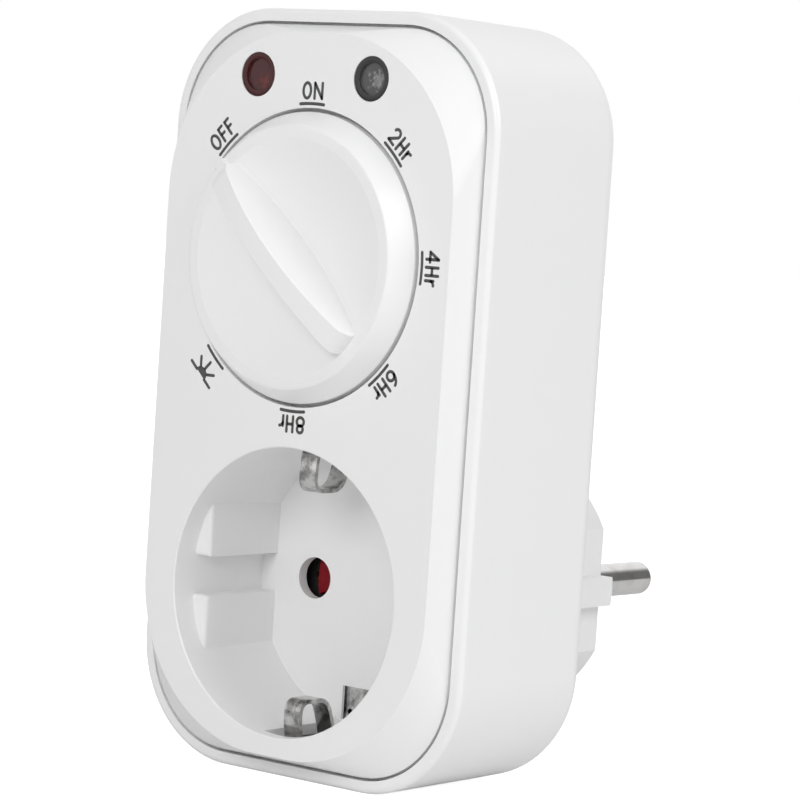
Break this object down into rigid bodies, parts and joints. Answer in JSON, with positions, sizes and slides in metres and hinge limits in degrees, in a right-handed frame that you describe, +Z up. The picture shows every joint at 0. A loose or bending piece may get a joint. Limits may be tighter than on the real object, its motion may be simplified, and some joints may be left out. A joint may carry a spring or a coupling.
{
  "type": "plug in timer switch",
  "caption": "Plug-in mains timer: round-cornered white case, earthed plug on the back, round socket in front, rotary hour dial above it with a signal lens and a light-sensor window.",
  "frame": {"origin": "on the plug's axis, in the plane of the case's flat back face (the wall plane)", "axes": "+X to the right seen from the front, +Y from the front towards the wall along the plug's pins, +Z up from the socket to the dial"},
  "size_m": [0.0566, 0.078, 0.1037],
  "materials": {
    "case_white": "satin moulded thermoplastic",
    "dial_white": "satin moulded thermoplastic",
    "red_lens": "clear red, moulded",
    "clear_lens": "clear moulded, smoke tint",
    "nickel": "bright nickel plating",
    "spring_bronze": "phosphor bronze strip",
    "spring_steel": "bright spring steel",
    "zinc_steel": "zinc plated",
    "board": "glass epoxy laminate, green mask",
    "black_plastic": "moulded black",
    "grey_plastic": "moulded grey",
    "relay_blue": "moulded blue",
    "capacitor_yellow": "cast yellow box",
    "can_sleeve": "shrink sleeve",
    "copper": "enamelled copper winding",
    "soft_iron": "plated soft iron",
    "silver": "silver alloy",
    "shutter_red": "moulded red",
    "carrier_plastic": "heat resistant moulding, black",
    "wire_brown": "insulation, brown",
    "wire_black": "insulation, black",
    "wire_blue": "insulation, blue",
    "varistor_blue": "dipped epoxy",
    "resistor_beige": "coated film resistor",
    "led_red": "diffused red epoxy",
    "photocell": "cadmium sulphide cell",
    "fuse_brown": "moulded brown"
  },
  "bodies": {
    "housing": {"front_cover": "case_white", "rear_case": "case_white", "case_screws": "zinc_steel", "switch_housing": "black_plastic", "switch_cover": "zinc_steel", "switch_contacts": "silver", "detent_ball": "spring_steel", "detent_spring": "spring_steel", "status_lens": "red_lens", "sensor_window": "clear_lens", "status_led": "led_red", "light_sensor": "photocell", "control_board": "board", "board_screws": "zinc_steel", "relay_base": "black_plastic", "relay_cover": "relay_blue", "relay_bobbin": "grey_plastic", "relay_coil": "copper", "relay_core": "soft_iron", "relay_yoke": "soft_iron", "relay_fixed_contact": "silver", "dropper_capacitor": "capacitor_yellow", "smoothing_capacitor": "can_sleeve", "fuse": "fuse_brown", "varistor": "varistor_blue", "microcontroller": "black_plastic", "diodes": "black_plastic", "resistors": "resistor_beige", "driver_transistor": "black_plastic", "line_pin": "nickel", "neutral_pin": "nickel", "pin_retainer": "carrier_plastic", "line_receptacle": "spring_bronze", "neutral_receptacle": "spring_bronze", "contact_carrier": "carrier_plastic", "shutter_spring": "spring_steel", "earth_strap_upper": "nickel", "earth_strap_lower": "nickel", "earth_link": "spring_bronze", "neutral_link": "spring_bronze", "line_wire": "wire_brown", "load_wire": "wire_black", "neutral_wire": "wire_blue"},
    "dial": {"dial_knob": "dial_white", "switch_shaft": "grey_plastic", "switch_rotor": "grey_plastic", "switch_wiper": "spring_bronze"},
    "shutter": {"safety_shutter": "shutter_red"},
    "armature": {"relay_armature": "soft_iron", "relay_moving_contact": "spring_bronze"}
  },
  "joints": [
    {"name": "dial_turn", "type": "hinge", "parent": "housing", "child": "dial", "pos_m": [0, -0.03, 0.0449], "axis": [0, 1, 0], "range_deg": [0, 270]},
    {"name": "shutter_turn", "type": "hinge", "parent": "housing", "child": "shutter", "pos_m": [0, -0.0113, 0], "axis": [0, 1, 0], "range_deg": [0, 32], "stiffness_Nm_per_rad": 0.002, "springref_deg": -17.19},
    {"name": "relay_armature_tilt", "type": "hinge", "parent": "housing", "child": "armature", "pos_m": [-0.00045, -0.00375, 0.058], "axis": [0, 0, -1], "range_deg": [0, 4.2], "stiffness_Nm_per_rad": 0.02, "springref_deg": -5.73}
  ]
}
